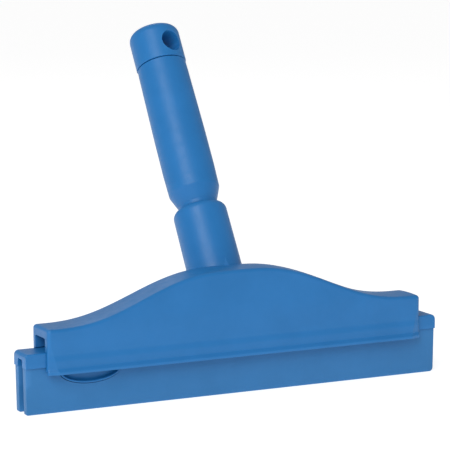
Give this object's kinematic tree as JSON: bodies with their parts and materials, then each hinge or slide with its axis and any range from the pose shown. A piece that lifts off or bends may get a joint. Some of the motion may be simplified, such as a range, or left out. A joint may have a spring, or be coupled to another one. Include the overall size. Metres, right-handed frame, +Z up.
{
  "type": "hand squeegee",
  "caption": "Hand squeegee: an arched head holds a slide-in cassette of soft wiping blades, and a round grip with a hanging hole leans back from its collar.",
  "frame": {"origin": "bottom centre of the whole tool's bounding box, level with the wiping edges", "axes": "+X along the blades, to the right seen from the front; -Y to the front; +Z up; the grip leans towards +Y"},
  "size_m": [0.245, 0.1218, 0.1928],
  "materials": {
    "hard_blue": "satin moulded polypropylene, blue right through",
    "soft_blue": "smooth soft thermoplastic rubber, the same blue, slightly duller"
  },
  "bodies": {
    "head": {"head_frame": "hard_blue"},
    "handle": {"handle_grip": "hard_blue", "end_cap": "hard_blue"},
    "cassette": {"cassette_spine": "hard_blue"},
    "front_blade": {"front_blade": "soft_blue"},
    "rear_blade": {"rear_blade": "soft_blue"},
    "release_tab": {"release_tab": "hard_blue"}
  },
  "joints": [
    {"name": "handle_unscrew", "type": "hinge", "parent": "head", "child": "handle", "pos_m": [0, -0.03706, 0.0472], "axis": [0, 0.5314, 0.8471], "range_deg": [0, 900]},
    {"name": "cassette_slide", "type": "slide", "parent": "head", "child": "cassette", "axis": [1, 0, 0], "range_m": [-0.234, 0]},
    {"name": "front_blade_flex", "type": "hinge", "parent": "cassette", "child": "front_blade", "pos_m": [0, -0.05346, 0.0241], "axis": [1, 0, 0], "range_deg": [-8, 8], "stiffness_Nm_per_rad": 1.6},
    {"name": "rear_blade_flex", "type": "hinge", "parent": "cassette", "child": "rear_blade", "pos_m": [0, -0.04326, 0.0241], "axis": [1, 0, 0], "range_deg": [-8, 8], "stiffness_Nm_per_rad": 1.6},
    {"name": "release_tab_press", "type": "hinge", "parent": "front_blade", "child": "release_tab", "pos_m": [-0.086, -0.05496, 0.0214], "axis": [1, 0, 0], "range_deg": [0, 6], "stiffness_Nm_per_rad": 0.05}
  ]
}
